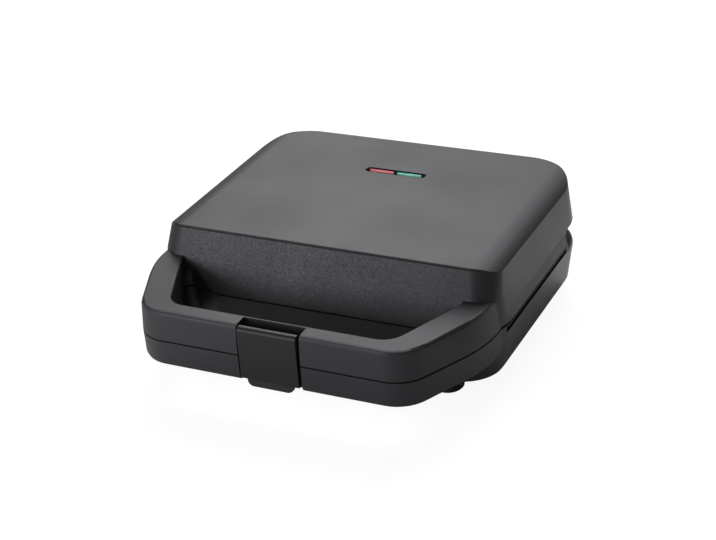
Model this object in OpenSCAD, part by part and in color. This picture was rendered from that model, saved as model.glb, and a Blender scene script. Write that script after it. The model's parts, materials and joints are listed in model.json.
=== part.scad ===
// Sandwich toaster with a hinged lid, two loop handle halves and a front latch.
// Units are millimetres. X runs to the right, Y to the back, Z up, and the part stands on Z = 0.
// The forms below are drawn in a joint frame: Y = 0 at the top front edge of the lid and
// Z = 0 on the plane where lid and base meet.

/* [Housing] */
// overall width at the joint between lid and base
body_w = 239.6; // [220:0.2:270]
// depth from the top front edge of the lid to the rear wall
body_d = 164.5; // [156:0.5:200]
// height of the lid above the joint
lid_h = 38.8; // [35:0.2:50]
// depth of the base below the joint
tub_h = 35; // [33:0.5:48]
// thickness of the moulded walls
wall = 2.4; // [2:0.1:3]
// gap between lid and base at the joint
joint_gap = 0.6; // [0.4:0.1:1]
// lean of each side wall of the lid, per millimetre of height
side_lean = 0.125; // [0.06:0.001:0.15]
// extra width of the skirt on each side of the lid at the joint
skirt_out = 0.9; // [0.5:0.1:1.5]
// height of the skirt
skirt_h = 8; // [5:0.5:10]
// plan radius of the front corners of the lid
corner_front = 16; // [12:1:20]
// plan radius of the rear corners
corner_rear = 35; // [28:1:38]
// plan radius of the base's rear corners
tub_rear = 38; // [30:1:40]
// how far the sloped front face comes forward at the joint
front_run = 14.7; // [11:0.1:17]
// width of the rolled shoulder on each side of the lid's top
roll_w = 15.5; // [12:0.5:20]
// drop of the rolled shoulder
roll_drop = 5.2; // [4:0.1:6.5]
// height and depth of the groove under the lid's top front edge
groove = 0.7; // [0.5:0.1:1]
// lean of the base's side walls, per millimetre of depth
tub_lean = 0.15; // [0.08:0.01:0.2]
// plan radius of the base's front corners
tub_corner = 26; // [20:1:30]
// height of the rounding along the base's bottom edge
tub_round = 4; // [2:0.5:5]
// length of the side slit from its front end
slit_l = 112; // [90:1:116]
// distance from the lid's top front edge to the front end of the side slit
slit_start = 6; // [2:1:12]
// height of the side slit
slit_h = 2.8; // [2:0.2:3.4]
// height of the thin rail left between the side slit and the joint
slit_rail = 0.9; // [0.7:0.1:1.2]
// height of the lid's rear edge above the joint
rear_up = 8; // [7.6:0.1:10]
// radius of the lid's rear lower edge
lid_edge = 1.2; // [0.8:0.1:2]
// radius of the base's rounded rear rim
rear_round = 6.6; // [6:0.1:7]
// how far the base's rear rim lies below the joint
rim_drop = 1.5; // [1:0.1:2]

/* [Handle] */
// distance from the lid's top front edge to the front of the handle
handle_reach = 78.4; // [68:0.2:90]
// height of the lid's handle half
handle_top = 20; // [18:0.5:24]
// depth of the base's handle half
handle_bot = 17.7; // [16:0.1:20]
// distance from the outside of the arms in to the handle's front corner points
corner_in = 28.3; // [24:0.1:32]
// distance from the lid's top front edge forward to where the arms reach full width
arm_root = 19.8; // [14:0.2:26]
// inward step of the arms from the housing width
arm_in = 2.5; // [1:0.1:4]
// radius of the handle's front corners
handle_corner = 24; // [16:1:28]
// radius of the blend between arms and housing
arm_blend = 80; // [50:1:90]
// depth of the crossbar, front to back
bar_d = 14; // [12:0.5:18]
// width of each arm at its front corner
front_arm_w = 14.8; // [13.4:0.1:19]
// width of each arm where it meets the housing
arm_w = 18.3; // [17:0.1:22]
// width of the flared wall at each end of the finger gap
gap_bevel = 27; // [23:1:34]
// depth of the flared wall
gap_back = 10.2; // [9:0.1:11]
// inward draft of the lid handle's sides at its shoulder
arm_draft = 3; // [1.5:0.1:3.6]
// inward draft of the lid handle's front at its shoulder
bar_draft = 0.9; // [0.4:0.1:1.5]
// radius of the handle's top edges
edge_round = 3; // [2:0.2:3.6]

/* [Latch] */
// width of the latch
latch_w = 39; // [34:0.2:50]
// thickness of the latch plate
latch_t = 3; // [2.4:0.1:3.6]
// how far the latch stands in front of the handle
latch_proud = 1.2; // [0.8:0.1:2.6]
// height of the latch plate below the joint
latch_low = 15; // [14:0.5:17]
// width of the finger tab under the latch
tab_w = 31.5; // [26:0.5:33]
// drop of the finger tab
tab_h = 4.5; // [4:0.5:7]
// clearance beside the latch
latch_gap = 1.5; // [0.8:0.1:2]
// distance from the front of the handle to the latch pivot
pivot_in = 5.9; // [5.4:0.1:6.6]
// height of the latch pivot above the joint
pivot_z = 9; // [8:0.5:11]
// radius of the latch pivot's barrel
barrel_r = 3.6; // [3.2:0.1:4]
// radius of the latch pin
latch_pin_r = 1.25; // [1:0.05:1.5]

/* [Hinge] */
// distance of the hinge axis from the rear wall
hinge_in = 3.6; // [3.2:0.1:4]
// distance of each hinge from the side of the housing
hinge_side = 49.8; // [46:0.2:58]
// length of the lid's knuckle
knuckle_l = 12; // [10:0.5:16]
// length of each knuckle on the base
cheek_l = 8; // [6:0.5:10]
// radius of the knuckles
knuckle_r = 4.6; // [4.2:0.1:4.8]
// radius of the hinge pins
pin_r = 2; // [1.5:0.1:2.2]
// radial running clearance on the pins
pin_fit = 0.06; // [0.03:0.01:0.1]

/* [Cooking plates] */
// distance from the side of the housing to the cooking plates
plate_in = 12.8; // [11.8:0.1:18]
// depth of the cooking plates, front to back
plate_d = 122; // [104:1:124]
// distance from the lid's top front edge back to the cooking plates
plate_start = -2; // [-3:0.5:2]
// corner radius of the cooking plates
plate_corner = 12; // [8:1:18]
// depth of the sandwich pockets
pocket_h = 10; // [8:0.5:12]
// thickness of the cast plates
plate_t = 2.6; // [2.2:0.1:3.2]
// gap between the two plates when closed
plate_gap = 1; // [0.6:0.1:1.6]
// width of the rim and of the webs between the pockets
web = 7; // [5:0.5:9]
// inward draft of the pocket walls
pocket_draft = 5; // [3:0.5:6]
// height of the sealing ridge around the pockets
bead = 0.3; // [0.1:0.1:0.3]
// width of the flange that the frame holds
flange = 3; // [2:0.5:4]

/* [Heating] */
// radius of the tubular heating elements
heater_r = 3.2; // [2.8:0.1:3.5]
// distance from the side of the cooking plates to the centres of the elements' bends
heater_in = 59; // [54:1:64]
// bend radius of the heating elements
heater_bend = 36; // [28:1:40]
// thickness of the reflector sheets
sheet = 0.6; // [0.4:0.1:1]
// height of the reflector's turned-up edge
sheet_lip = 6; // [4:0.5:8]

/* [Inner frames] */
// thickness of the inner frames
frame_t = 2.2; // [1.8:0.1:2.4]
// clearance around the fixed inner pieces
fit = 0.25; // [0.15:0.05:0.4]
// radius of the screw bosses
boss_r = 4; // [3.4:0.1:4.6]
// radius of the screw shanks
screw_r = 1.5; // [1.2:0.1:1.8]
// radius of the screw heads
head_r = 3; // [2.4:0.1:3.2]

/* [Indicators] */
// length of the indicator slot on the lid
slot_l = 43.5; // [40:0.5:60]
// width of the indicator slot
slot_w = 7; // [5.4:0.2:8]
// distance from the lid's top front edge back to the indicator slot
slot_y = 114.2; // [100:0.1:125]
// wall of the indicator bezel
bezel_wall = 0.5; // [0.4:0.1:1]
// slant of the lenses' ends, per millimetre of their width
lens_slant = 0.4; // [0:0.05:0.5]
// depth of the indicator bezel
bezel_h = 7; // [5:0.5:8]

/* [Feet and cable entry] */
// height of the moulded legs under the base
leg_h = 4; // [3:0.5:6]
// radius of the moulded legs
leg_r = 11; // [9:0.5:12]
// height of the rubber feet under the legs
foot_h = 4; // [3:0.5:6]
// distance of the feet's centres from the side of the housing
foot_in = 36.3; // [33:0.1:44]
// distance from the lid's top front edge forward to the front feet
foot_front = 5; // [-4:0.2:5]
// distance from the rear wall to the rear feet
foot_rear = 24; // [20:1:36]
// radius of the cable entry's collar
gland_r = 7; // [6:0.5:8]
// bore radius of the cable entry
gland_bore = 3.4; // [2.6:0.1:4]
// length of the cable entry outside the rear wall
gland_out = 3; // [2:0.5:4]
// distance of the cable entry from the middle
gland_x = 30; // [0:1:40]
// width of the vent slots in the bottom
vent_w = 3; // [2:0.2:4]
// length of the vent slots in the bottom
vent_l = 40; // [24:1:50]
// number of vent slots in the bottom
vents = 9; // [5:2:13]

/* [Small parts] */
// length of the terminal block
block_l = 28; // [24:1:34]
// depth of the terminal block, front to back
block_d = 10; // [8:0.5:12]
// height of the terminal block
block_h = 11; // [9:0.5:13]
// length of the indicator lamps
lamp_l = 9; // [7:0.5:11]
// radius of the indicator lamps
lamp_r = 1.4; // [1.2:0.1:1.6]
// length of the screw shanks in their bosses
screw_l = 7; // [5:0.5:9]

/* [Hidden] */
$fn = 72;
e = 0.01;
half_gap = joint_gap / 2;
z_joint = foot_h + leg_h + tub_h;
total_d = latch_proud + handle_reach + body_d + max(gland_out, knuckle_r - hinge_in);
y_lid = latch_proud + handle_reach - total_d / 2;
// half width of the lid's walls, carried down to the joint without the skirt
lid_half = body_w / 2 - skirt_out;
slope = front_run / lid_h;
roll_r = (roll_w * roll_w + roll_drop * roll_drop) / (2 * roll_drop);
roll_x = lid_half - side_lean * (lid_h - roll_drop) - roll_w;
arm_x = body_w / 2 - arm_in;
handle_x = arm_x - corner_in;
gap_front_x = handle_x - front_arm_w;
gap_rear_x = arm_x - arm_w;
hinge_x = body_w / 2 - hinge_side;
plate_w = body_w - 2 * plate_in;
heater_l = plate_w - 2 * heater_in;
foot_x = body_w / 2 - foot_in;
zone_y = slit_start + slit_l + 1;
rim_in = rear_round + 0.9;
core_in = rear_round - 0.8;
rim_low = rim_drop + rear_round;
lid_rim = rear_up + knuckle_r + 0.5 + wall;
hinge_y = body_d - hinge_in;
pivot_y = pivot_in - handle_reach;
pocket_back = pivot_in + barrel_r + 2.4;
plate_back = plate_gap / 2 + pocket_h + plate_t;
heater_z = plate_back + heater_r + 0.1;
sheet_z = heater_z + heater_r + 0.3;
plate_mid = plate_start + plate_d / 2;
slab = 0.01;

// ---------- outlines ----------
function xy(p) = [p[0], p[1]];
function unit(v) = v / norm(v);

// moves every edge of a counter-clockwise outline inward by d and keeps its corner arcs concentric
function inset(p, d) =
    let (n = len(p))
    [for (k = [0 : n - 1])
        let (b = xy(p[k]),
             u = unit(b - xy(p[(k + n - 1) % n])),
             v = unit(xy(p[(k + 1) % n]) - b),
             nu = [-u[1], u[0]],
             nv = [-v[1], v[0]],
             q = b + (nu + nv) * d / (1 + nu * nv),
             r = p[k][2] == 0 ? 0 : max(p[k][2] + (cross(u, v) > 0 ? -d : d), 0.4))
        [q[0], q[1], r]];

// points along the rounding of corner k, about one every five degrees
function corner_pts(p, k) =
    let (n = len(p),
         b = xy(p[k]),
         u = unit(b - xy(p[(k + n - 1) % n])),
         v = unit(xy(p[(k + 1) % n]) - b),
         side = sign(cross(u, v)),
         turn = acos(u * v),
         r = p[k][2],
         c = b - u * r * tan(turn / 2) + [-u[1], u[0]] * r * side,
         a0 = atan2(-side * u[0], side * u[1]),
         steps = ceil(turn / 5))
    r == 0 ? [b] : [for (j = [0 : steps]) c + r * [cos(a0 + side * turn * j / steps),
                                                 sin(a0 + side * turn * j / steps)]];

function outline(p) = [for (k = [0 : len(p) - 1]) for (q = corner_pts(p, k)) q];

module rounded(p) {
    polygon(outline(p));
}

function mirrored(p) = concat(p, [for (k = [len(p) - 1 : -1 : 0]) [-p[k][0], p[k][1], p[k][2]]]);

// housing outline, counter-clockwise, from its half width, front and the two corner radii
function body_pts(hw, front, rf, rr) =
    [[-hw, front, rf], [hw, front, rf], [hw, body_d, rr], [-hw, body_d, rr]];

// outline of the handle with its arms carried back into the housing
function handle_pts(ax, front, rx, root, r1, r2) =
    [[-rx, 20, 0], [-rx, -root, r2], [-ax, front, r1], [ax, front, r1], [rx, -root, r2], [rx, 20, 0]];

function lid_pts(z, i) =
    inset(body_pts(lid_half - side_lean * z, slope * z - front_run,
                   z < handle_top / 2 ? corner_front * 1.6 : corner_front, corner_rear), i);

function tub_pts(z, i) =
    inset(body_pts(body_w / 2 + tub_lean * z, -front_run, tub_corner, tub_rear), i);

// finger gap, shared by both handle halves
gap_pts = mirrored([[gap_front_x, bar_d - handle_reach, 14],
                    [gap_rear_x, gap_back - front_run, 5],
                    [gap_rear_x - gap_bevel, -front_run, 14]]);
// the same gap with a straight rear side, between the arms only
arm_gap_pts = mirrored([[gap_front_x, bar_d - handle_reach, 14],
                        [gap_rear_x, gap_back - front_run, 5]]);

module layer(z, p) {
    translate([0, 0, z])
        linear_extrude(slab)
            rounded(p);
}

// ---------- forms ----------
// across the lid: flat top with a rolled shoulder at each side
module roll_form(i) {
    rotate([90, 0, 0])
        translate([0, 0, -300])
            linear_extrude(600) {
                translate([-roll_x, -50])
                    square([2 * roll_x, 50 + lid_h - i]);
                translate([-200, -50])
                    square([400, 50 + lid_h - roll_r]);
                for (s = [-1, 1])
                    translate([s * roll_x, lid_h - roll_r])
                        circle(r = roll_r - i, $fn = 144);
            }
}

module lid_form(i) {
    intersection() {
        roll_form(i);
        hull() {
            layer(-slab, lid_pts(0, i));
            layer(handle_top, lid_pts(handle_top, i));
            layer(lid_h + 1, lid_pts(lid_h + 1, i));
        }
    }
}

// the lid's lower edge stands out a little along its sides
module skirt_form() {
    hull() {
        layer(0, body_pts(body_w / 2, -front_run, corner_front * 1.9, corner_rear));
        layer(skirt_h, lid_pts(skirt_h, 0));
    }
}

module lid_handle_form(i) {
    ax = handle_x;
    hull() {
        layer(-slab, inset(handle_pts(ax, -handle_reach, arm_x, arm_root, handle_corner, arm_blend), i));
        layer(handle_top - edge_round,
              inset(handle_pts(ax, bar_draft - handle_reach, arm_x - arm_draft, arm_root - 1,
                               handle_corner, arm_blend), i));
        layer(handle_top - edge_round * 0.3 - i,
              inset(handle_pts(ax, bar_draft + edge_round * 0.3 - handle_reach,
                               arm_x - arm_draft - edge_round * 0.4, arm_root - 2,
                               handle_corner - 1, arm_blend - 10), i));
        layer(handle_top - slab - i,
              inset(handle_pts(ax, bar_draft + edge_round - handle_reach,
                               arm_x - arm_draft - edge_round, arm_root - 3,
                               handle_corner - 2, arm_blend - 20), i));
    }
}

module tub_form(i) {
    hull() {
        layer(0, tub_pts(0, i));
        layer(tub_round - tub_h, tub_pts(tub_round - tub_h, i));
        layer(tub_round * 0.3 - tub_h + i, tub_pts(-tub_h, i + tub_round * 0.3));
        layer(-tub_h + i, tub_pts(-tub_h, i + tub_round));
    }
}

module tub_handle_form(i) {
    p = handle_pts(handle_x, -handle_reach, arm_x, arm_root, handle_corner, arm_blend);
    hull() {
        layer(0, inset(p, i));
        layer(edge_round - handle_bot, inset(p, i + 0.3));
        layer(edge_round * 0.3 - handle_bot + i, inset(p, i + 0.3 + edge_round * 0.3));
        layer(-handle_bot + i, inset(p, i + 0.3 + edge_round));
    }
}

// inset of an edge rounded to radius r, at a distance d from its crest
function edge_in(r, d) = r - sqrt(max(r * r - pow(r - d, 2), 0)) - 0.02;

// rear part of the lid, above the opening between lid and base
module lid_rear() {
    z0 = rear_up + half_gap;
    hull() {
        for (d = [0, 0.3, 1] * lid_edge)
            layer(z0 + d, lid_pts(z0 + d, edge_in(lid_edge, d)));
        layer(z0 + lid_edge + 2, lid_pts(z0 + lid_edge + 2, -0.6));
    }
}

// rounded rear rim of the base
module tub_rim() {
    hull() {
        for (d = [0, 0.07, 0.25, 0.5, 0.75, 1] * rear_round)
            layer(-rim_drop - d - slab, tub_pts(-rim_drop - d, edge_in(rear_round, d)));
        layer(-rim_low - 3, tub_pts(-rim_low - 3, -0.6));
    }
}

module rear_zone(z0, z1, g) {
    translate([-200, zone_y + g, z0])
        cube([400, 200, z1 - z0]);
}

// hollow inside the thicker rim of the rear part
module rim_hollow(z0, z1) {
    translate([0, 0, z0])
        linear_extrude(z1 - z0)
            difference() {
                rounded(lid_pts(0, rim_in));
                translate([-200, -200])
                    square([400, 200 + zone_y - 8]);
            }
}

// gaps between the knuckles, for the lid's (own = 1) or the base's (own = -1)
module knuckle_room(own) {
    for (s = [-1, 1])
        if (own > 0)
            along_x(s * hinge_x - knuckle_l / 2 - 0.4, knuckle_l + 0.8, hinge_y, rear_up, knuckle_r + 0.5);
        else
            for (t = [-1, 1])
                along_x(cheek_x(s, t) - 0.4, cheek_l + 0.8, hinge_y, rear_up, knuckle_r + 0.5);
}

// knuckle barrel with the block that joins it to its housing, above (up) or below the axis
module knuckle(x0, l, up) {
    h = up ? knuckle_r + 0.5 + wall : rear_up + rim_drop + rear_round * 0.7;
    along_x(x0, l, hinge_y, rear_up, knuckle_r);
    translate([x0, hinge_y - knuckle_r, rear_up - (up ? 0 : h)])
        cube([l, knuckle_r + hinge_in - wall / 2, h]);
}

function cheek_x(s, t) = s * hinge_x + t * (knuckle_l / 2 + cheek_l / 2 + 0.4) - cheek_l / 2;

module finger_gap(i) {
    through(gap_pts, i);
}

// opening straight through both halves, widened by i
module through(p, i) {
    translate([0, 0, -tub_h - leg_h])
        linear_extrude(tub_h + leg_h + lid_h)
            rounded(inset(p, -i));
}

// arms and crossbar without the part between the arms, so the lid's sloped front runs down to the joint
module lid_handle(i) {
    difference() {
        lid_handle_form(i);
        through(arm_gap_pts, i);
    }
}

// shallow groove under the lid's top front edge, running out round the front corners
module front_groove() {
    z = lid_h - 2 * groove;
    translate([0, 0, z])
        linear_extrude(groove)
            difference() {
                translate([-body_w / 2, -front_run - 5])
                    square([body_w, front_run + 5 + corner_front / 2]);
                rounded(body_pts(lid_half - side_lean * z + groove / 2, slope * z - front_run + groove,
                                 corner_front, corner_rear));
            }
}

// recess in the crossbar that holds the latch
module latch_pocket(z0, z1, back) {
    translate([-latch_w / 2 - latch_gap, -handle_reach - 5, z0])
        cube([latch_w + 2 * latch_gap, 5 + back, z1 - z0]);
}

module along_x(x0, l, y, z, r) {
    translate([x0, y, z])
        rotate([0, 90, 0])
            cylinder(r = r, h = l);
}

module at_joint() {
    translate([0, y_lid, z_joint])
        children();
}

// ---------- positions shared by mating pieces ----------
boss_pos = [[-body_w / 2 + 17, plate_start + plate_d + 6], [body_w / 2 - 17, plate_start + plate_d + 6],
            [-handle_x + head_r + 8, bar_d / 2 - handle_reach + 0.5],
            [handle_x - head_r - 8, bar_d / 2 - handle_reach + 0.5]];
post_pos = [for (sx = [-1, 1]) for (sy = [-1, 1])
            [sx * (plate_w / 2 - 9), plate_mid + sy * (plate_d / 2 - 9)]];
foot_pos = [for (s = [-1, 1]) for (y = [-foot_front, body_d - foot_rear]) [s * foot_x, y]];

// ---------- lid ----------
module lid_shell() {
    color("#4a494c")
        at_joint()
            difference() {
                union() {
                    difference() {
                        union() {
                            lid_form(0);
                            skirt_form();
                            lid_handle(0);
                        }
                        difference() {
                            union() {
                                lid_form(wall);
                                lid_handle(wall);
                            }
                            finger_gap(wall);
                            latch_pocket(-1, 60, pocket_back + wall);
                            rear_zone(-1, lid_rim, -wall);
                        }
                        rim_hollow(-1, lid_rim + e);
                        difference() {
                            rear_zone(-1, rear_up + half_gap + lid_edge + 1, -half_gap);
                            lid_rear();
                        }
                        translate([-200, -200, -20])
                            cube([400, 500, 20 + half_gap]);
                    }
                    // screw bosses for the inner frame
                    for (k = [0 : 3])
                        translate([boss_pos[k][0], boss_pos[k][1], half_gap + 0.2 + frame_t])
                            cylinder(r = boss_r, h = (k < 2 ? lid_h : handle_top) - wall - frame_t - half_gap);
                    for (s = [-1, 1])
                        knuckle(s * hinge_x - knuckle_l / 2, knuckle_l, true);
                }
                finger_gap(0);
                front_groove();
                latch_pocket(-1, 60, pocket_back);
                knuckle_room(-1);
                for (s = [-1, 1])
                    along_x(s * hinge_x - 20, 40, hinge_y, rear_up, pin_r + pin_fit);
                along_x(-latch_w / 2 - latch_gap - 3, latch_w + 2 * latch_gap + 6, pivot_y, pivot_z,
                        latch_pin_r + 0.02);
                // indicator slot
                translate([0, slot_y, lid_h - wall - 1])
                    linear_extrude(wall + 2)
                        slot_outline(0);
                for (p = boss_pos)
                    translate([p[0], p[1], 0])
                        cylinder(r = screw_r + 0.02, h = frame_t + screw_l + 2);
            }
}

module slot_outline(i) {
    hw = slot_l / 2 - i;
    hh = slot_w / 2 - i;
    rounded([[-hw, -hh, hh * 0.8], [hw, -hh, hh * 0.8], [hw, hh, hh * 0.8], [-hw, hh, hh * 0.8]]);
}

// outline of an inner frame: it fills the mouth of the housing and of its handle
module frame_outline() {
    i = wall + fit;
    difference() {
        union() {
            rounded(inset(body_pts(min(body_w / 2 - tub_lean * 3.5, lid_half - side_lean * 3.5),
                                   slope * (half_gap + 0.2 + frame_t) - front_run,
                                   max(corner_front * 1.6, tub_corner), tub_rear), i));
            difference() {
                rounded(inset(handle_pts(handle_x, bar_draft - handle_reach, arm_x - 1, arm_root,
                                         handle_corner, arm_blend), i));
                rounded(inset(arm_gap_pts, -i));
            }
        }
        rounded(inset(gap_pts, -i));
        translate([-latch_w / 2 - latch_gap - i, -handle_reach - 5])
            square([latch_w + 2 * latch_gap + 2 * i, 5 + pocket_back + i]);
        // room behind the side slits
        for (s = [-1, 1])
            translate([s * (plate_w / 2 + flange + 1.5 + 10), slit_start + slit_l / 2])
                square([20, slit_l - 8], center = true);
        difference() {
            translate([-200, zone_y - 8 - fit])
                square([400, 200]);
            intersection() {
                rounded(lid_pts(0, rim_in + fit + 0.1));
                translate([-200, 0])
                    square([400, hinge_y - knuckle_r - 2]);
            }
        }
    }
}

module plate_outline(i) {
    hw = plate_w / 2 - i;
    hd = plate_d / 2 - i;
    r = plate_corner - i;
    translate([0, plate_mid])
        rounded([[-hw, -hd, r], [hw, -hd, r], [hw, hd, r], [-hw, hd, r]]);
}

// inner frame of a housing, drawn as the lid's; the base's is its mirror image
module inner_frame() {
    translate([0, 0, half_gap + 0.2])
        difference() {
            linear_extrude(frame_t)
                difference() {
                    frame_outline();
                    plate_outline(-fit);
                }
            for (p = boss_pos)
                translate([p[0], p[1], -e]) {
                    cylinder(r = screw_r + 0.1, h = frame_t + 1);
                    cylinder(r1 = head_r + 0.05, r2 = screw_r + 0.1, h = frame_t * 0.7);
                }
        }
}

module lid_frame() {
    color("#2a2a2c")
        at_joint()
            inner_frame();
}

module frame_screws() {
    for (p = boss_pos)
        translate([p[0], p[1], half_gap + 0.2]) {
            cylinder(r1 = head_r, r2 = screw_r, h = frame_t * 0.7);
            cylinder(r = screw_r, h = frame_t + screw_l);
        }
}

module lid_frame_screws() {
    color("#b9b9b4")
        at_joint()
            frame_screws();
}

// triangular pocket outlines: two for each slice of bread
function slice_pts(s) =
    let (x0 = web / 2, x1 = plate_w / 2 - web, y0 = plate_mid - plate_d / 2 + web,
         y1 = plate_mid + plate_d / 2 - web, g = web / 2)
    s > 0 ? [[[x0 + g, y0, 9], [x1, y0, 9], [x1, y1 - g, 9]], [[x0, y0 + g, 9], [x1 - g, y1, 9], [x0, y1, 9]]]
          : [[[-x0 - g, y0, 9], [-x1, y1 - g, 9], [-x1, y0, 9]], [[-x0, y0 + g, 9], [-x0, y1, 9], [-x1 + g, y1, 9]]];

// cooking plate, drawn as the lid's
module cooking_plate() {
    z0 = plate_gap / 2;
    zf = half_gap + 0.2 + frame_t;
    difference() {
        union() {
            translate([0, 0, z0])
                linear_extrude(zf + plate_t - z0)
                    plate_outline(0);
            translate([0, 0, zf])
                linear_extrude(plate_t)
                    plate_outline(-flange);
            translate([0, 0, z0])
                linear_extrude(pocket_h + plate_t)
                    plate_outline(web - plate_t);
            // sealing ridge round the pockets
            translate([0, 0, z0 - bead])
                linear_extrude(bead + 1)
                    difference() {
                        plate_outline(web * 0.3);
                        plate_outline(web * 0.3 + 1.6);
                    }
            for (p = post_pos)
                translate([p[0], p[1], z0 + 1])
                    cylinder(r = 3.6, h = sheet_z - z0 - 1);
        }
        for (s = [-1, 1])
            for (p = slice_pts(s))
                hull() {
                    layer(z0 - slab * 2, p);
                    layer(z0 + pocket_h - 1, inset(p, pocket_draft));
                    layer(z0 + pocket_h - slab, inset(p, pocket_draft + 2));
                }
        for (p = post_pos)
            translate([p[0], p[1], sheet_z - 8])
                cylinder(r = screw_r + 0.02, h = 9);
    }
}

module lid_plate() {
    color("#3a3a3c")
        at_joint()
            cooking_plate();
}

// tubular element: two straight runs, a bend at each end, and terminals turned to the rear
module heater() {
    translate([0, plate_mid, heater_z]) {
        for (s = [-1, 1])
            translate([s * heater_l / 2, 0, 0])
                rotate([0, 0, s * -90])
                    rotate_extrude(angle = 180)
                        translate([heater_bend, 0])
                            circle(r = heater_r);
        along_x(-heater_l / 2, heater_l, -heater_bend, 0, heater_r);
        for (s = [-1, 1]) {
            along_x(s > 0 ? 18 : -heater_l / 2, heater_l / 2 - 18, heater_bend, 0, heater_r);
            translate([s * 18, heater_bend, 0])
                sphere(r = heater_r);
            translate([s * 18, heater_bend, 0])
                rotate([-90, 0, 0])
                    cylinder(r = heater_r, h = 12);
            translate([s * 18, heater_bend + 12, 0])
                rotate([-90, 0, 0])
                    cylinder(r = heater_r * 0.45, h = 8);
        }
    }
}

module lid_heater() {
    color("#8d8a84")
        at_joint()
            heater();
}

// sheet tray behind the element, its edge turned towards the plate
module reflector() {
    translate([0, 0, sheet_z])
        difference() {
            union() {
                linear_extrude(sheet)
                    plate_outline(2);
                translate([0, 0, -sheet_lip])
                    linear_extrude(sheet_lip + sheet)
                        difference() {
                            plate_outline(2);
                            plate_outline(2 + sheet);
                        }
            }
            for (p = post_pos)
                translate([p[0], p[1], -1])
                    cylinder(r = screw_r + 0.1, h = 3);
            // way out for the element's terminals
            translate([-26, plate_mid + plate_d / 2 - 10, -sheet_lip - 1])
                cube([52, 20, sheet_lip + 1]);
        }
}

module lid_reflector() {
    color("#c9c9c6")
        at_joint()
            reflector();
}

module reflector_screws() {
    for (p = post_pos)
        translate([p[0], p[1], sheet_z + sheet]) {
            difference() {
                cylinder(r = head_r, h = 1.6);
                translate([-head_r, -0.4, 0.9])
                    cube([2 * head_r, 0.8, 1]);
            }
            translate([0, 0, -6])
                cylinder(r = screw_r, h = 6 + e);
        }
}

module lid_reflector_screws() {
    color("#b9b9b4")
        at_joint()
            reflector_screws();
}

module thermostat() {
    color("#d9d4c4")
        at_joint()
            translate([0, plate_mid, plate_back])
                rotate_extrude()
                    polygon([[0, 0], [9, 0], [9, 3.6], [7.6, 3.6], [7.6, 5.6], [3, 6.2], [0, 6.2]]);
}

module thermal_fuse() {
    color("#c8c8c2")
        at_joint()
            translate([26, plate_mid, plate_back + 2.1])
                rotate([0, 90, 0]) {
                    cylinder(r = 2, h = 13);
                    translate([0, 0, -7])
                        cylinder(r = 0.5, h = 27);
                }
}

// ---------- indicators ----------
module indicator_bezel() {
    color("#151516")
        at_joint()
            translate([0, slot_y, lid_h])
                difference() {
                    union() {
                        translate([0, 0, -bezel_h])
                            linear_extrude(bezel_h - 0.1)
                                slot_outline(0.03);
                        translate([0, 0, -wall - 1.2])
                            linear_extrude(1.2 - e)
                                slot_outline(-1.6);
                    }
                    for (s = [-1, 1])
                        translate([0, 0, -bezel_h - 1])
                            linear_extrude(bezel_h + 2)
                                lens_outline(s, 0);
                }
}

module lens_outline(s, i) {
    x0 = 1.4 + i;
    x1 = slot_l / 2 - 3 - i;
    hh = slot_w / 2 - bezel_wall - i;
    t = lens_slant * hh;
    polygon(s > 0 ? [[x0 + t, -hh], [x1 + t, -hh], [x1 - t, hh], [x0 - t, hh]]
                  : [[-x1 + t, -hh], [-x0 + t, -hh], [-x0 - t, hh], [-x1 - t, hh]]);
}

// moulded light pipe with a crowned top
module lens(s) {
    at_joint()
        translate([0, slot_y, lid_h - 0.1])
            intersection() {
                translate([0, 0, -4])
                    linear_extrude(6)
                        lens_outline(s, 0.03);
                translate([-slot_l / 2, 0, 0])
                    rotate([90, 0, 90])
                        linear_extrude(slot_l)
                            difference() {
                                translate([0, -slot_w * 1.2 - 0.05])
                                    circle(r = slot_w * 1.2);
                                translate([-20, -30])
                                    square([40, 26.5]);
                            }
            }
}

module red_lens() {
    color("#c8402f")
        lens(-1);
}

module green_lens() {
    color("#1f8f80")
        lens(1);
}

module neon_lamps() {
    color("#e8c9a8")
        at_joint()
            for (s = [-1, 1])
                translate([s * 7, slot_y, lid_h - 4.2 - lamp_r]) {
                    rotate([0, s * 90, 0])
                        cylinder(r = lamp_r, h = lamp_l);
                    translate([s * lamp_l, 0, 0])
                        sphere(r = lamp_r);
                }
}

// ---------- latch ----------
module latch_side() {
    f = -handle_reach - latch_proud;
    b = f + latch_t;
    top = handle_top - 0.4;
    difference() {
        union() {
            rounded([[f + 0.4, -latch_low, 0.6], [b, -latch_low, 0], [b, pivot_z - barrel_r - 0.4, 2],
                     [pivot_y, pivot_z - barrel_r - 0.4, 0], [pivot_y, pivot_z + barrel_r, 0],
                     [b + 2.2, pivot_z + barrel_r, 2], [b + 2.2, top, 1.2], [f + 0.6, top, 2.6], [f, pivot_z, 0]]);
            translate([pivot_y, pivot_z])
                circle(r = barrel_r);
        }
        translate([pivot_y, pivot_z])
            circle(r = latch_pin_r + pin_fit);
    }
}

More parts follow.
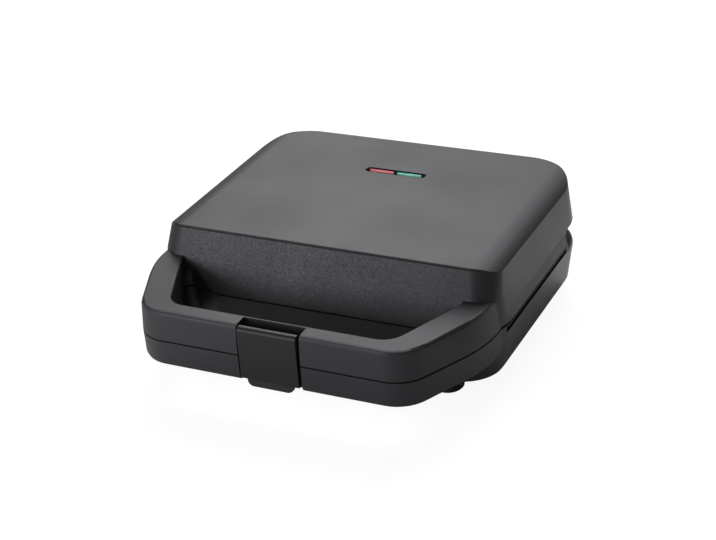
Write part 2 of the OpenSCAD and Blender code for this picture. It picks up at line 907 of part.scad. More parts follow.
module latch() {
    f = -handle_reach - latch_proud;
    color("#333235")
        at_joint() {
            difference() {
                translate([-latch_w / 2, 0, 0])
                    rotate([90, 0, 90])
                        linear_extrude(latch_w)
                            latch_side();
                // the barrel is cut free between its two end lugs
                translate([-latch_w / 2 + 8, f + latch_t + 2.3, pivot_z - barrel_r - 2])
                    cube([latch_w - 16, 20, barrel_r * 2 + 3]);
            }
            // nib that snaps over the catch rib
            translate([-8, f + latch_t - e, -12.6])
                cube([16, 0.6, 2.4]);
            // finger tab
            translate([0, f + 1, -latch_low])
                rotate([-8, 0, 0])
                    rotate([-90, 0, 0])
                        linear_extrude(latch_t - 1.2)
                            rounded([[-tab_w / 2, -1.2, 0], [tab_w / 2, -1.2, 0], [tab_w / 2, tab_h, 4.4],
                                     [-tab_w / 2, tab_h, 4.4]]);
        }
}

module latch_pin() {
    color("#b9b9b4")
        at_joint()
            along_x(-latch_w / 2 - latch_gap - 2.4, latch_w + 2 * latch_gap + 4.8, pivot_y, pivot_z, latch_pin_r);
}

// ---------- base ----------
rib_y = latch_t - latch_proud + 0.9 - handle_reach;
recess_back = latch_t - latch_proud + 3.2;
gland_z = -rim_low - wall - gland_r - 1.5;

module tub_shell() {
    color("#434245")
        at_joint()
            difference() {
                union() {
                    difference() {
                        union() {
                            difference() {
                                union() {
                                    tub_form(0);
                                    tub_handle_form(0);
                                }
                                translate([-200, -200, -half_gap])
                                    cube([400, 500, 20]);
                                difference() {
                                    rear_zone(-rim_low - 1, 20, half_gap);
                                    tub_rim();
                                }
                            }
                            // inner wall that stands up into the lid
                            intersection() {
                                translate([0, 0, -rim_low])
                                    linear_extrude(rim_low + rear_up - half_gap)
                                        rounded(tub_pts(0, core_in));
                                rear_zone(-rim_low, 20, half_gap);
                            }
                            for (p = foot_pos)
                                translate([p[0], p[1], -tub_h - leg_h])
                                    cylinder(r = leg_r, h = leg_h + tub_round);
                        }
                        difference() {
                            union() {
                                tub_form(wall);
                                tub_handle_form(wall);
                            }
                            finger_gap(wall);
                            latch_pocket(-60, 1, recess_back + wall);
                            rear_zone(-rim_low - wall, 1, -wall);
                        }
                        rim_hollow(-rim_low - wall - e, 20);
                    }
                    for (k = [0 : 3])
                        translate([boss_pos[k][0], boss_pos[k][1], wall - 0.2 - (k < 2 ? tub_h : handle_bot)])
                            cylinder(r = boss_r, h = (k < 2 ? tub_h : handle_bot) - wall - frame_t - half_gap);
                    for (s = [-1, 1])
                        for (t = [-1, 1])
                            knuckle(cheek_x(s, t), cheek_l, false);
                    // catch rib for the latch
                    intersection() {
                        along_x(-11, 22, rib_y + 1.5, -8.4, 1.5);
                        translate([-20, rib_y - 1, -20])
                            cube([40, recess_back - 1.5, 20]);
                    }
                }
                finger_gap(0);
                difference() {
                    latch_pocket(-60, 1, recess_back);
                    along_x(-11, 22, rib_y + 1.5, -8.4, 1.5);
                }
                knuckle_room(1);
                for (s = [-1, 1])
                    along_x(s * hinge_x - 20, 40, hinge_y, rear_up, pin_r + 0.02);
                // slit through each side wall, under a thin rail
                for (s = [-1, 1])
                    translate([s * (body_w / 2 - wall / 2), slit_start + slit_l / 2,
                               -half_gap - slit_rail - slit_h / 2])
                        cube([wall + 3, slit_l, slit_h], center = true);
                // cable entry
                translate([gland_x, body_d + 5, gland_z])
                    rotate([90, 0, 0])
                        cylinder(r = gland_r - 1.5, h = wall + 10);
                for (p = foot_pos)
                    translate([p[0], p[1], -tub_h - leg_h - 1])
                        cylinder(r = screw_r + 0.02, h = leg_h + tub_round + 6);
                for (p = boss_pos)
                    translate([p[0], p[1], -frame_t - screw_l - 2])
                        cylinder(r = screw_r + 0.02, h = frame_t + screw_l + 3);
                // vents
                for (k = [-(vents - 1) / 2 : (vents - 1) / 2])
                    for (s = [-1, 1])
                        translate([s * (vent_l / 2 + 6), plate_mid + k * vent_w * 2.6, -tub_h - 1])
                            linear_extrude(wall + 2)
                                vent_outline();
            }
}

module vent_outline() {
    hull_r = vent_w / 2;
    translate([-vent_l / 2 + hull_r, 0])
        circle(r = hull_r, $fn = 24);
    translate([vent_l / 2 - hull_r, 0])
        circle(r = hull_r, $fn = 24);
    translate([-vent_l / 2 + hull_r, -hull_r])
        square([vent_l - vent_w, vent_w]);
}

module tub_frame() {
    color("#2a2a2c")
        at_joint()
            mirror([0, 0, 1])
                inner_frame();
}

module tub_frame_screws() {
    color("#b9b9b4")
        at_joint()
            mirror([0, 0, 1])
                frame_screws();
}

module tub_plate() {
    color("#3a3a3c")
        at_joint()
            mirror([0, 0, 1])
                cooking_plate();
}

module tub_heater() {
    color("#8d8a84")
        at_joint()
            mirror([0, 0, 1])
                heater();
}

module tub_reflector() {
    color("#c9c9c6")
        at_joint()
            mirror([0, 0, 1])
                reflector();
}

module tub_reflector_screws() {
    color("#b9b9b4")
        at_joint()
            mirror([0, 0, 1])
                reflector_screws();
}

module terminal_block() {
    color("#e6e1d2")
        at_joint()
            translate([-10, plate_start + plate_d + 14, -tub_h + wall])
                difference() {
                    translate([-block_l / 2, -block_d / 2, 0])
                        cube([block_l, block_d, block_h]);
                    for (x = [-1, 0, 1] * block_l / 3) {
                        translate([x, 0, block_h / 2])
                            cylinder(r = block_d * 0.22, h = block_h);
                        translate([x, block_d, block_h * 0.36])
                            rotate([90, 0, 0])
                                cylinder(r = block_d * 0.16, h = 2 * block_d);
                    }
                }
}

module cable_entry() {
    color("#1d1d1f")
        at_joint()
            translate([gland_x, body_d, gland_z])
                rotate([90, 0, 0])
                    difference() {
                        union() {
                            translate([0, 0, -gland_out])
                                cylinder(r1 = gland_r - 1.2, r2 = gland_r, h = gland_out);
                            translate([0, 0, -e])
                                cylinder(r = gland_r - 1.55, h = wall + 2);
                            translate([0, 0, wall + 0.1])
                                cylinder(r = gland_r, h = 1.4);
                        }
                        translate([0, 0, -gland_out - 1])
                            cylinder(r = gland_bore, h = 20);
                    }
}

module hinge_pins() {
    color("#b9b9b4")
        at_joint()
            for (s = [-1, 1])
                along_x(s * hinge_x - knuckle_l / 2 - cheek_l - 0.2, knuckle_l + 2 * cheek_l + 0.4,
                        hinge_y, rear_up, pin_r);
}

module feet() {
    color("#1b1b1c")
        at_joint()
            for (p = foot_pos)
                translate([p[0], p[1], -tub_h - leg_h - foot_h])
                    rotate_extrude()
                        polygon([[head_r + 0.4, 0], [leg_r - 1.8, 0], [leg_r - 0.9, 0.9], [leg_r - 0.4, foot_h],
                                 [screw_r + 0.1, foot_h], [screw_r + 0.1, foot_h - 1.6], [head_r + 0.4, foot_h - 1.6]]);
}

module foot_screws() {
    color("#b9b9b4")
        at_joint()
            for (p = foot_pos)
                translate([p[0], p[1], -tub_h - leg_h - 1.6]) {
                    translate([0, 0, -1.5])
                        cylinder(r = head_r, h = 1.5);
                    cylinder(r = screw_r, h = leg_h + screw_l / 2);
                }
}

lid_shell();
lid_frame();
lid_plate();
lid_heater();
lid_reflector();
lid_reflector_screws();
lid_frame_screws();
thermostat();
thermal_fuse();
indicator_bezel();
red_lens();
green_lens();
neon_lamps();
latch();
latch_pin();
tub_shell();
tub_frame();
tub_plate();
tub_heater();
tub_reflector();
tub_reflector_screws();
tub_frame_screws();
terminal_block();
cable_entry();
hinge_pins();
feet();
foot_screws();
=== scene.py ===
"""Sandwich toaster in matt anthracite plastic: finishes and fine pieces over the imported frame.
Lengths are in metres, in the frame's axes: +X to the right, +Y towards the hinge, +Z up."""
import bpy
import json
import math
from mathutils import Matrix, Vector

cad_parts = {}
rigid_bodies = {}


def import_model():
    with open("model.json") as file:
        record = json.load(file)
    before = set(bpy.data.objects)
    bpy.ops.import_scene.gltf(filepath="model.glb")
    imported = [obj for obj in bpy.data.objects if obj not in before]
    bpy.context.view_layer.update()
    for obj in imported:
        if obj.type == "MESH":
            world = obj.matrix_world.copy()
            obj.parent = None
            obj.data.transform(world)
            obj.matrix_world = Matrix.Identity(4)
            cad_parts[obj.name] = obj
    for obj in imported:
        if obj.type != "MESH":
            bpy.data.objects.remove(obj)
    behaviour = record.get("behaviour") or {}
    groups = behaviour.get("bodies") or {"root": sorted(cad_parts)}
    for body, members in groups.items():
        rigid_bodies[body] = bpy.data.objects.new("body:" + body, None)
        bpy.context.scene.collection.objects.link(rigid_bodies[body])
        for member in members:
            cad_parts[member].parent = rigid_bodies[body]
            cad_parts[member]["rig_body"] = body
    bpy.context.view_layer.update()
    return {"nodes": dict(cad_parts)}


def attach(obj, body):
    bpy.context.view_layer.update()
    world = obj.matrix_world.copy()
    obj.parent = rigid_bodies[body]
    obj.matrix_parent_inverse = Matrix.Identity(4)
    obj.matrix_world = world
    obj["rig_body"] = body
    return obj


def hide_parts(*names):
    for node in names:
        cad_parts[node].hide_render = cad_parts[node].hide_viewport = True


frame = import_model()
scene = bpy.context.scene

JOINT_Z = 0.043     # plane where lid and base meet
HALF_GAP = 0.0003   # from that plane to each housing's mouth
LEVEL = 0.00004     # corners this close to a height are at it


# ---------------------------------------------------------------- node and material helpers


def linear(code, factor=1.0):
    """An sRGB hex colour as linear red, green, blue and alpha; a factor lightens or darkens it."""
    parts = [int(code[i:i + 2], 16) / 255 for i in (1, 3, 5)]
    return [factor * (c / 12.92 if c <= 0.04045 else ((c + 0.055) / 1.055) ** 2.4)
            for c in parts] + [1.0]


def grey(value):
    """A grey for a colour ramp that carries a plain number, such as a roughness."""
    return value, value, value, 1


def add(tree, kind, inputs=None, stops=(), **settings):
    """Adds a node. An input given as a socket, or as a node for its first output, is linked;
    anything else is its value. Stops are the places and colours of a colour ramp."""
    made = tree.nodes.new("ShaderNode" + kind)
    for name, value in settings.items():
        setattr(made, name, value)
    for name, value in (inputs or {}).items():
        source = value.outputs[0] if isinstance(value, bpy.types.Node) else value
        if isinstance(source, bpy.types.NodeSocket):
            tree.links.new(source, made.inputs[name])
        else:
            made.inputs[name].default_value = source
    for _ in stops[2:]:
        made.color_ramp.elements.new(0.5)
    for i, (place, colour) in enumerate(stops):
        made.color_ramp.elements[i].position = place
        made.color_ramp.elements[i].color = colour
    return made


def new_material(name):
    """A new material and its empty node tree."""
    made = bpy.data.materials.new(name)
    made.use_nodes = True
    made.node_tree.nodes.clear()
    return made, made.node_tree


def textured(name):
    """A new material, its node tree, and the object's own coordinates to lay patterns by."""
    made, tree = new_material(name)
    return made, tree, add(tree, "TexCoord").outputs["Object"]


def with_shader(made, inputs):
    """Ends a material's tree in a principled shader with these inputs."""
    shader = add(made.node_tree, "BsdfPrincipled", inputs)
    add(made.node_tree, "OutputMaterial", {"Surface": shader})
    return made


def assign(obj, material):
    """Makes this the object's only material."""
    obj.data.materials.clear()
    obj.data.materials.append(material)


def per_metre(mm):
    """Texture scale that gives one feature every so many millimetres."""
    return 1000.0 / mm


def band(tree, value, low, high, soft):
    """1 between two positions, falling to 0 over a soft margin outside them."""
    up = add(tree, "MapRange", {"Value": value, "From Min": low - soft, "From Max": low})
    down = add(tree, "MapRange", {"Value": value, "From Min": high, "From Max": high + soft,
                                  "To Min": 1.0, "To Max": 0.0})
    return add(tree, "Math", {0: up, 1: down}, operation="MULTIPLY")


# ---------------------------------------------------------------- finishes


LOW, HIGH = 0.3, 0.7        # most values of a noise texture lie between these
SPARK_MM = 0.7              # spark-eroded grain: really 0.1 mm, drawn as coarse as it needs to show
LEATHER_MM = 1.3            # etched grain of the sloped front
FLOW_MM = 60                # blotches that the flow of the melt leaves
SPARK_SPECKLE = 0.04        # how far a grain lightens and darkens the colour, on the ramp's scale
LEATHER_SPECKLE = 0.07
SPARK_HEIGHT = 0.012        # how far a grain stands up, in millimetres
LEATHER_HEIGHT = 0.03
FLOW_GLOSS = 0.03           # how far the blotches change the roughness
DARKEST, LIGHTEST = 0.3, 1.7    # ends of the grain's ramp, as factors of the plastic's colour
# a trace of violet in the plastic's sheen
ABS_SHEEN = (0.98, 0.942, 1.0, 1.0)
# low and high corner of the box round the lid's sloped front, and the margin it fades out over
SLOPED_FRONT = ((-0.088, -0.0595, 0.0445), (0.088, -0.0446, 0.0795), (0.02, 0.003, 0.003))
LENS_Y, LENS_HALF = 0.07025, 0.003      # middle and half width of the indicator lenses
LENS_SWAY = 0.0009                      # how far the bands of painted shade, tint and painted highlight in them sway


def moulded_abs(name, base, rough, edge_mm=0.6, specular=0.4, leather=None):
    """Injection-moulded ABS from a spark-eroded mould: matt, with a fine even grain and slow
    blotches of gloss. Leather is the box of the face that was etched to a coarser grain."""
    made, tree, where = textured(name)
    fine = add(tree, "TexNoise", {"Vector": where, "Scale": per_metre(SPARK_MM),
                                  "Detail": 2.0, "Roughness": 0.6})
    depth = add(tree, "MapRange", {"Value": fine, "From Min": LOW, "From Max": HIGH,
                                   "To Min": -SPARK_SPECKLE, "To Max": SPARK_SPECKLE})
    height = add(tree, "Math", {0: fine, 1: SPARK_HEIGHT}, operation="MULTIPLY")
    if leather:
        axes = add(tree, "SeparateXYZ", {"Vector": where}).outputs
        x, y, z = (band(tree, axis, *ends) for axis, *ends in zip(axes, *leather))
        inside = add(tree, "Math", {0: x, 1: y}, operation="MULTIPLY")
        inside = add(tree, "Math", {0: inside, 1: z}, operation="MULTIPLY")
        coarse = add(tree, "TexNoise", {"Vector": where, "Scale": per_metre(LEATHER_MM),
                                        "Detail": 3.0, "Roughness": 0.65})
        pebble = add(tree, "MapRange", {"Value": coarse, "From Min": 0.35, "From Max": 0.65,
                                        "To Min": -LEATHER_SPECKLE, "To Max": LEATHER_SPECKLE})
        pebble = add(tree, "Math", {0: pebble, 1: inside}, operation="MULTIPLY")
        depth = add(tree, "Math", {0: depth, 1: pebble}, operation="ADD")
        raised = add(tree, "Math", {0: coarse, 1: inside}, operation="MULTIPLY")
        raised = add(tree, "Math", {0: raised, 1: LEATHER_HEIGHT}, operation="MULTIPLY")
        height = add(tree, "Math", {0: height, 1: raised}, operation="ADD")
    shade = add(tree, "Math", {0: depth, 1: 0.5}, operation="ADD")
    flow = add(tree, "TexNoise", {"Vector": where, "Scale": per_metre(FLOW_MM), "Detail": 2.0})
    gloss = add(tree, "MapRange", {"Value": flow, "From Min": LOW, "From Max": HIGH,
                                   "To Min": rough - FLOW_GLOSS, "To Max": rough + FLOW_GLOSS})
    rounded = add(tree, "Bevel", {"Radius": edge_mm / 1000}, samples=6)
    return with_shader(made, {
        "Base Color": add(tree, "ValToRGB", {"Fac": shade}, stops=(
            (0.0, linear(base, DARKEST)), (1.0, linear(base, LIGHTEST)))),
        "Roughness": add(tree, "Math", {0: gloss, 1: depth}, operation="SUBTRACT"),
        "Normal": add(tree, "Bump", {"Strength": 1.0, "Distance": 0.001, "Height": height,
                                     "Normal": rounded}),
        "IOR": 1.5, "Specular IOR Level": specular, "Specular Tint": ABS_SHEEN})


def cast_coated(name):
    """Cast aluminium with a sprayed non-stick coat: near black, with a soft sheen, faint flecks
    1.4 mm apart and the 0.9 mm orange peel of the spray."""
    made, tree, where = textured(name)
    fleck = add(tree, "TexVoronoi", {"Vector": where, "Scale": per_metre(1.4)})
    spray = add(tree, "TexNoise", {"Vector": where, "Scale": per_metre(0.9), "Detail": 3.0})
    return with_shader(made, {
        "Base Color": add(tree, "ValToRGB", {"Fac": fleck}, stops=(
            (0.04, linear("#77777a")), (0.16, linear("#38383a")))),
        "Roughness": add(tree, "ValToRGB", {"Fac": spray}, stops=(
            (LOW, grey(0.3)), (HIGH, grey(0.42)))),
        "Normal": add(tree, "Bump", {"Strength": 0.6, "Distance": 0.00003, "Height": spray})})


def rolled_metal(name, base, rough):
    """Rolled sheet or drawn wire: long faint streaks, 25 times as long as they are wide. They
    are really finer than 0.1 mm and are drawn 0.8 mm wide, as coarse as they need to show."""
    made, tree, where = textured(name)
    drawn = add(tree, "Mapping", {"Vector": where, "Scale": (0.04, 1.0, 1.0)})
    streak = add(tree, "TexNoise", {"Vector": drawn, "Scale": per_metre(0.8), "Detail": 2.0})
    return with_shader(made, {
        "Base Color": add(tree, "ValToRGB", {"Fac": streak}, stops=(
            (LOW, linear(base, 0.86)), (HIGH, linear(base)))),
        "Roughness": add(tree, "ValToRGB", {"Fac": streak}, stops=(
            (LOW, grey(rough + 0.08)), (HIGH, grey(rough - 0.04)))),
        "Metallic": 1.0})


def sheathed_steel(name):
    """Heating tube of oxidised steel: brown and blue-grey heat tints in patches of 25 mm."""
    made, tree, where = textured(name)
    tint = add(tree, "TexNoise", {"Vector": where, "Scale": per_metre(25), "Detail": 4.0})
    return with_shader(made, {
        "Base Color": add(tree, "ValToRGB", {"Fac": tint}, stops=(
            (LOW, linear("#5c5046")), (0.5, linear("#7b766f")), (HIGH, linear("#5f6670")))),
        "Roughness": add(tree, "ValToRGB", {"Fac": tint}, stops=(
            (LOW, grey(0.55)), (HIGH, grey(0.4)))),
        "Metallic": 0.8})


def moulded_rubber(name):
    """Moulded rubber: dull black with a dusty, slightly lighter bloom in patches of 3 mm."""
    made, tree, where = textured(name)
    bloom = add(tree, "TexNoise", {"Vector": where, "Scale": per_metre(3), "Detail": 5.0})
    return with_shader(made, {
        "Base Color": add(tree, "ValToRGB", {"Fac": bloom}, stops=(
            (LOW, linear("#191919")), (0.75, linear("#262626")))),
        "Roughness": add(tree, "ValToRGB", {"Fac": bloom}, stops=(
            (LOW, grey(0.75)), (HIGH, grey(0.9)))),
        "Normal": add(tree, "Bump", {"Strength": 0.5, "Distance": 0.00005, "Height": bloom})})


def unglazed_steatite(name):
    """Pressed and fired steatite of terminal blocks: cream, chalky, with tiny pits. The real
    pits are finer than 1.2 mm and are drawn as coarse as they need to show."""
    made, tree, where = textured(name)
    pits = add(tree, "TexNoise", {"Vector": where, "Scale": per_metre(1.2), "Detail": 4.0})
    return with_shader(made, {
        "Base Color": add(tree, "ValToRGB", {"Fac": pits}, stops=(
            (0.35, linear("#c9c0aa")), (0.6, linear("#e3dcc8")))),
        "Roughness": 0.7,
        "Normal": add(tree, "Bump", {"Strength": 0.5, "Distance": 0.00006, "Height": pits})})


def tinted_lens_with_painted_light(name, deep, body, painted_gleam):
    """Tinted moulded polycarbonate: bands of its tint along the lens, with painted shade at its
    front edge and a painted highlight on its crown, that sway a little every 3 mm across and 15 mm
    along."""
    made, tree, where = textured(name)
    across = add(tree, "SeparateXYZ", {"Vector": where}).outputs["Y"]
    along = add(tree, "Mapping", {"Vector": where, "Scale": (0.2, 1.0, 0.2)})
    streak = add(tree, "TexNoise", {"Vector": along, "Scale": per_metre(3), "Detail": 1.0})
    sway = add(tree, "MapRange", {"Value": streak, "From Min": LOW, "From Max": HIGH,
                                  "To Min": -LENS_SWAY, "To Max": LENS_SWAY})
    place = add(tree, "Math", {0: across, 1: sway}, operation="ADD")
    share = add(tree, "MapRange", {"Value": place, "From Min": LENS_Y - LENS_HALF,
                                   "From Max": LENS_Y + LENS_HALF})
    return with_shader(made, {
        # the first colour is painted shade at the front edge, the pale one a painted highlight on
        # the crown
        "Base Color": add(tree, "ValToRGB", {"Fac": share}, stops=[
            (0.05 + 0.18 * i, linear(code))
            for i, code in enumerate((deep, body, body, painted_gleam, body, body))]),
        "Roughness": 0.3, "Specular IOR Level": 0.12})


def lamp_glass(name):
    """Blown glass of a small neon lamp: clear, with a warm haze from the electrodes in it, in
    patches of 2.5 mm."""
    made, tree, where = textured(name)
    haze = add(tree, "TexNoise", {"Vector": where, "Scale": per_metre(2.5), "Detail": 2.0})
    return with_shader(made, {
        "Base Color": add(tree, "ValToRGB", {"Fac": haze}, stops=(
            (0.35, linear("#caa98c")), (0.65, linear("#efe2d4")))),
        "Roughness": 0.08, "Transmission Weight": 0.6})


lid_abs = moulded_abs("moulded_abs_lid", "#2c2a2d", 0.5, leather=SLOPED_FRONT)
base_abs = moulded_abs("moulded_abs_base", "#2c2a2d", 0.5)
latch_abs = moulded_abs("moulded_abs_latch", "#222123", 0.42, specular=0.3, edge_mm=0.5)
# glass-filled polyester, which stands the plates' heat, looks like the ABS but darker
frame_pbt = moulded_abs("moulded_pbt_frames", "#1d1d1f", 0.5)
# near black and nearly without gloss: the bezel's black plastic, which is also painted shade for
# the recesses at the lens ends; the cable entry shares it
black_and_shaded_abs = moulded_abs("moulded_black_bezel_and_painted_shade", "#050506", 0.5, specular=0.01, edge_mm=0.2)
coated = cast_coated("nonstick_cast_aluminium")
tube_steel = sheathed_steel("oxidised_steel_tube")
sheet = rolled_metal("rolled_aluminium_sheet", "#c9c9c7", 0.35)
zinc = rolled_metal("zinc_plated_steel", "#b4b4b0", 0.32)
rubber = moulded_rubber("moulded_rubber")
ceramic = unglazed_steatite("steatite_ceramic")
# the first colour of each lens is painted shade at its front edge, the last a painted highlight on
# its crown
red = tinted_lens_with_painted_light("tinted_lens_red", "#701620", "#b03640", "#dc7a82")
green = tinted_lens_with_painted_light("tinted_lens_green", "#084c42", "#2c9080", "#7cd2c0")
glass = lamp_glass("neon_lamp_glass")

finish = {
    "lid_shell": lid_abs, "tub_shell": base_abs, "latch": latch_abs,
    "lid_frame": frame_pbt, "tub_frame": frame_pbt, "lid_plate": coated, "tub_plate": coated,
    "lid_heater": tube_steel, "tub_heater": tube_steel,
    "lid_reflector": sheet, "tub_reflector": sheet, "thermal_fuse": sheet,
    "lid_reflector_screws": zinc, "tub_reflector_screws": zinc, "lid_frame_screws": zinc,
    "tub_frame_screws": zinc, "foot_screws": zinc, "hinge_pins": zinc, "latch_pin": zinc,
    "thermostat": ceramic, "terminal_block": ceramic,
    "indicator_bezel": black_and_shaded_abs, "cable_entry": black_and_shaded_abs,
    "red_lens": red, "green_lens": green, "neon_lamps": glass, "feet": rubber,
}
for name, part in frame["nodes"].items():
    assign(part, finish[name])


# ---------------------------------------------------------------- helpers for worked pieces


WELD = 0.00001                      # corners closer than this are one
FLAT_ANGLE = math.radians(0.3)      # faces that meet flatter than this become one flat face


def body_of(name):
    """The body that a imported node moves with."""
    return frame["nodes"][name]["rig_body"]


def select_only(obj):
    """Selects one object and makes it the active one."""
    bpy.ops.object.select_all(action="DESELECT")
    obj.select_set(True)
    bpy.context.view_layer.objects.active = obj


def modify(piece, name, kind, **settings):
    """Adds a modifier with its settings and applies it."""
    made = piece.modifiers.new(name, kind)
    for key, value in settings.items():
        setattr(made, key, value)
    select_only(piece)
    bpy.ops.object.modifier_apply(modifier=made.name)


def select_where(mesh, test):
    """Selects the corners whose place passes a test, and the edges and faces between them."""
    for v in mesh.vertices:
        v.select = test(v.co)
    for part in (*mesh.edges, *mesh.polygons):
        part.select = all(mesh.vertices[i].select for i in part.vertices)


def lift_selected(piece, rise):
    """Moves the selected corners up, or down with a rise below zero."""
    select_only(piece)
    bpy.ops.object.mode_set(mode="EDIT")
    bpy.ops.mesh.select_mode(type="VERT")
    bpy.ops.transform.translate(value=(0, 0, rise))
    bpy.ops.object.mode_set(mode="OBJECT")


def weigh_edges(mesh, test):
    """Gives the edges that pass a test the full bevel weight, and the others none."""
    layer = "bevel_weight_edge"
    weight = mesh.attributes.get(layer) or mesh.attributes.new(layer, "FLOAT", "EDGE")
    for edge in mesh.edges:
        weight.data[edge.index].value = 1.0 if test(edge) else 0.0


def merged_copy(node, name):
    """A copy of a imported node's mesh with its seams closed, ready to be worked on."""
    source = frame["nodes"][node]
    piece = source.copy()
    piece.data = source.data.copy()
    for key in list(piece.keys()):
        if key.startswith("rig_"):
            del piece[key]
    piece.name = name
    piece.parent = None
    scene.collection.objects.link(piece)
    piece.matrix_world = Matrix.Identity(4)
    select_only(piece)
    bpy.ops.object.mode_set(mode="EDIT")
    bpy.ops.mesh.select_all(action="SELECT")
    bpy.ops.mesh.customdata_custom_splitnormals_clear()
    bpy.ops.mesh.remove_doubles(threshold=WELD)
    bpy.ops.mesh.dissolve_limited(angle_limit=FLAT_ANGLE)
    bpy.ops.object.mode_set(mode="OBJECT")
    return piece


def hand_over(piece, node):
    """The finished piece takes its CAD node's material, body and place."""
    assign(piece, finish[node])
    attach(piece, body_of(node))
    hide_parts(node)


# ---------------------------------------------------------------- mouldings and cast plates


MOUTH_BACK = 0.0002     # how far the mouths are drawn back, for the shadow line between them
MOUTH_EASE = 0.00025    # width of the bevel on a mouth's edges
# height of each housing's mouth, and which way it is drawn back
MOUTH = {"lid_shell": (JOINT_Z + HALF_GAP, MOUTH_BACK),
         "tub_shell": (JOINT_Z - HALF_GAP, -MOUTH_BACK)}
SLIT_FLOOR = JOINT_Z - 0.004    # lower lip of the base's side slits
SLIT_DEEPER = 0.0009            # how much lower that lip is set
SLIT_X = 0.1                    # the slits lie further out than this
# low and high corner of the box that holds the upper rim of the finger gap
GAP_RIM = ((-0.1, -0.109, JOINT_Z + 0.004), (0.1, -0.0452, JOINT_Z + 0.036))
GAP_ROLL = 0.0014               # radius that rim is rolled to
WALL_TILT, TOP_TILT = 0.25, 0.3     # most and least upward share of a wall's and a top's normal
RIM_ANGLE = math.radians(35)    # a rim turns more sharply than this
CURVED = math.radians(28)       # faces that meet flatter than this are shaded as one curve


def ease_mouth(piece, height, back):
    """Draws a housing's mouth back and eases its edges, as at a real parting line."""
    select_where(piece.data, lambda co: abs(co.z - height) < LEVEL)
    weigh_edges(piece.data, lambda edge: edge.select)
    lift_selected(piece, back)
    modify(piece, "eased_mouth", "BEVEL", limit_method="WEIGHT", width=MOUTH_EASE, segments=2)


def deepen_side_slits(piece):
    """Lowers the lower lip of the side slits, so that they read as open black slots from above."""
    select_where(piece.data, lambda co: abs(co.z - SLIT_FLOOR) < LEVEL and abs(co.x) > SLIT_X)
    lift_selected(piece, -SLIT_DEEPER)


def roll_gap_rim(piece):
    """Rolls the lid's edge over round the finger gap, where fingers close on it."""
    mesh = piece.data
    sides = {}
    for face in mesh.polygons:
        for key in face.edge_keys:
            sides.setdefault(key, []).append(face)

    def on_rim(edge):
        """Whether an edge inside the box is the outward corner of an upright wall and a top."""
        pair = sides.get(edge.key, [])
        ends = [mesh.vertices[i].co for i in edge.vertices]
        boxed = all(low < end[k] < high for end in ends
                    for k, (low, high) in enumerate(zip(*GAP_RIM)))
        if len(pair) != 2 or not boxed:
            return False
        wall, top = sorted(pair, key=lambda face: abs(face.normal.z))
        upright = abs(wall.normal.z) < WALL_TILT and top.normal.z > TOP_TILT
        order = list(wall.vertices)
        follows = order[(order.index(edge.vertices[0]) + 1) % len(order)] == edge.vertices[1]
        along = (ends[1] - ends[0]) * (1 if follows else -1)
        outward = top.normal.dot(wall.normal.cross(along)) < 0
        return upright and outward and wall.normal.angle(top.normal) > RIM_ANGLE

    weigh_edges(mesh, on_rim)
    modify(piece, "rolled_gap_rim", "BEVEL", limit_method="WEIGHT", width=GAP_ROLL, segments=4,
           use_clamp_overlap=False)


def smooth_shell(node):
    """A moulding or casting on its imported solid's shape: curved faces smooth, flat faces flat."""
    piece = merged_copy(node, node + "_moulding")
    if node in MOUTH:
        ease_mouth(piece, *MOUTH[node])
    if node == "lid_shell":
        roll_gap_rim(piece)
    if node == "tub_shell":
        deepen_side_slits(piece)
    select_only(piece)
    bpy.ops.object.shade_smooth_by_angle(angle=CURVED)
    modify(piece, "flat_faces_stay_flat", "WEIGHTED_NORMAL", keep_sharp=True, weight=80)
    hand_over(piece, node)


for node in ("lid_shell", "tub_shell", "latch", "lid_plate", "tub_plate"):
    smooth_shell(node)


# ---------------------------------------------------------------- cross-recessed screws


CROSS_LONG, CROSS_WIDE = 0.0031, 0.0008     # size of each arm of the cross
CROSS_CUT = 0.0022      # height of the cutter, half of which is in the head
TURNED = math.radians(30)   # faces of a turned screw that meet flatter than this are one curve


def cross_recessed(node, up):
    """The screws of a node with a cross recess pressed into each head, facing up or down."""
    whole = merged_copy(node, node + "_crossed")
    bpy.ops.object.mode_set(mode="EDIT")
    bpy.ops.mesh.select_all(action="SELECT")
    bpy.ops.mesh.separate(type="LOOSE")
    bpy.ops.object.mode_set(mode="OBJECT")
    screws = list(bpy.context.selected_objects)
    for screw in screws:
        corners = [Vector(c) for c in screw.bound_box]
        x, y = (sum(c[k] for c in corners) / 8 for k in (0, 1))
        z = max(c.z for c in corners) if up else min(c.z for c in corners)
        for wide, deep in ((CROSS_LONG, CROSS_WIDE), (CROSS_WIDE, CROSS_LONG)):
            bpy.ops.object.select_all(action="DESELECT")
            bpy.ops.mesh.primitive_cube_add(size=1, location=(x, y, z),
                                            scale=(wide, deep, CROSS_CUT))
            cutter = bpy.context.active_object
            modify(screw, "recess", "BOOLEAN", operation="DIFFERENCE", object=cutter)
            bpy.data.objects.remove(cutter)
    bpy.ops.object.select_all(action="DESELECT")
    for screw in screws:
        screw.select_set(True)
    bpy.context.view_layer.objects.active = whole
    bpy.ops.object.join()
    bpy.ops.object.shade_smooth_by_angle(angle=TURNED)
    hand_over(whole, node)


cross_recessed("lid_frame_screws", False)
cross_recessed("tub_frame_screws", True)
cross_recessed("foot_screws", False)


# ---------------------------------------------------------------- studio


CENTRE = (0, -0.01, 0.045)      # middle of the toaster, which the softboxes face
BOX_AWAY = 1.3                  # from there to each softbox
BOX_SIZE = (0.6, 0.5)
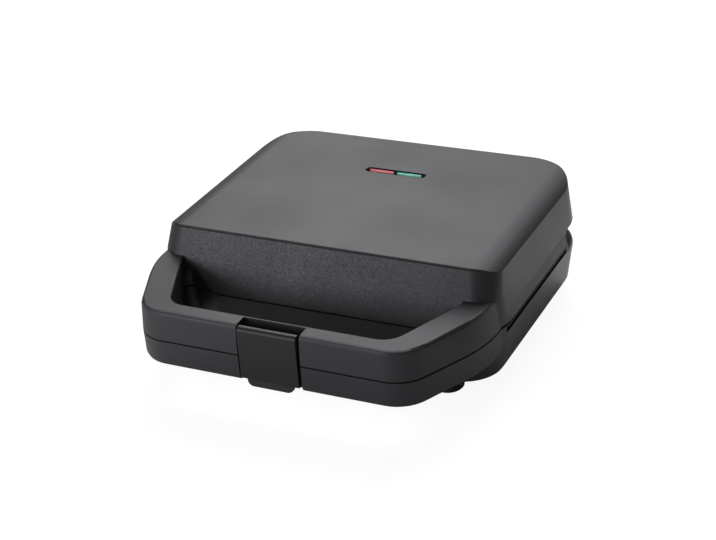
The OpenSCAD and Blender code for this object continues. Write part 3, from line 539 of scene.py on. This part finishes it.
# large boxes above the rear edge and two at the front left
SOFTBOXES = (   # name, azimuth, elevation, size, radiance
    ("rear_top", 90, 56, BOX_SIZE, 6.5),
    ("rear_left_top", 135, 56, BOX_SIZE, 2.0),
    ("rear", 90, 32, BOX_SIZE, 1.5),
    ("rear_left", 120, 32, BOX_SIZE, 4.5),
    ("front_left_low", 240, 10, (0.6, 0.42), 7.9),
    ("front_left_high", 240, 32, BOX_SIZE, 2.1),
)
CARD_ORIGIN = (0, 0, 0.003)     # white cards lie just above the floor round this place
CARD_AWAY = 0.25
CARD_SIZE = (0.17, 0.17)
CARDS = (("card_right_rear", 45, 0.75), ("card_right", 0, 0.28), ("card_front_left", 225, 0.15))
WHITE = (1, 1, 1, 1)
ROOM_LIGHT = 0.1        # even light from the room, which no camera ray sees
PAPER_GLOW = 0.92       # brings the floor close to white for the camera
PAPER_SHADE = 0.2       # reflectance that keeps the toaster's soft shadow on it
PAPER_BOUNCE = 0.9      # reflectance and roughness that the toaster sees from below


def softbox(name, place, target, size, radiance):
    """Area light of an even radiance, not seen by the camera itself."""
    data = bpy.data.lights.new(name, "AREA")
    data.shape = "RECTANGLE"
    data.size, data.size_y = size
    data.energy = radiance * size[0] * size[1] * math.pi
    lamp = bpy.data.objects.new(name, data)
    lamp.location = place
    lamp.rotation_euler = (Vector(target) - Vector(place)).to_track_quat("-Z", "Y").to_euler()
    lamp.visible_camera = False
    scene.collection.objects.link(lamp)


def around(azimuth, elevation, radius, centre):
    """A place on a sphere round a centre; azimuth 0 is the right side, 90 the rear."""
    a, e = math.radians(azimuth), math.radians(elevation)
    return Vector(centre) + radius * Vector(
        (math.cos(a) * math.cos(e), math.sin(a) * math.cos(e), math.sin(e)))


for name, azimuth, elevation, size, radiance in SOFTBOXES:
    softbox(name, around(azimuth, elevation, BOX_AWAY, CENTRE), CENTRE, size, radiance)
for name, azimuth, radiance in CARDS:
    spot = around(azimuth, 0, CARD_AWAY, CARD_ORIGIN)
    softbox(name, spot, spot + Vector((0, 0, 1)), CARD_SIZE, radiance)

# dim room for the toaster, plain white for the camera and through the lamps' glass
world = bpy.data.worlds.new("studio")
scene.world = world
world.use_nodes = True
tree = world.node_tree
tree.nodes.clear()
ray = add(tree, "LightPath").outputs
seen = add(tree, "Math", {0: ray["Is Camera Ray"], 1: ray["Is Transmission Ray"]},
           operation="MAXIMUM")
room = add(tree, "Background", {"Color": WHITE, "Strength": ROOM_LIGHT})
backdrop = add(tree, "Background", {"Color": WHITE, "Strength": 1.0})
both = add(tree, "MixShader", {0: seen, 1: room, 2: backdrop})
add(tree, "OutputWorld", {"Surface": both})

bpy.ops.object.select_all(action="DESELECT")
bpy.ops.mesh.primitive_plane_add(size=12, location=(0, 0, 0))
floor = bpy.context.active_object
floor.name = "studio_floor"
# white paper: nearly full white to the camera, with the toaster's soft shadow kept
paper, tree = new_material("studio_paper")
glow = add(tree, "Emission", {"Color": WHITE, "Strength": PAPER_GLOW})
shadow = add(tree, "BsdfDiffuse", {"Color": grey(PAPER_SHADE)})
shown = add(tree, "AddShader", {0: glow, 1: shadow})
bounce = add(tree, "BsdfPrincipled", {"Base Color": grey(PAPER_BOUNCE),
                                      "Roughness": PAPER_BOUNCE})
ray = add(tree, "LightPath").outputs
pick = add(tree, "MixShader", {0: ray["Is Camera Ray"], 1: bounce, 2: shown})
add(tree, "OutputMaterial", {"Surface": pick})
assign(floor, paper)

# 84 mm lens on a 36 mm sensor, 1.1 m away, from the front right and above
eye = bpy.data.cameras.new("camera")
eye.lens = 83.88
eye.sensor_width = 36
eye.clip_end = 50
camera = bpy.data.objects.new("camera", eye)
camera.location = (0.43741, -0.86015, 0.54533)
camera.rotation_euler = (1.0894349, 0.0648474, 0.4348962)
scene.collection.objects.link(camera)
scene.camera = camera
scene.view_settings.view_transform = "Standard"
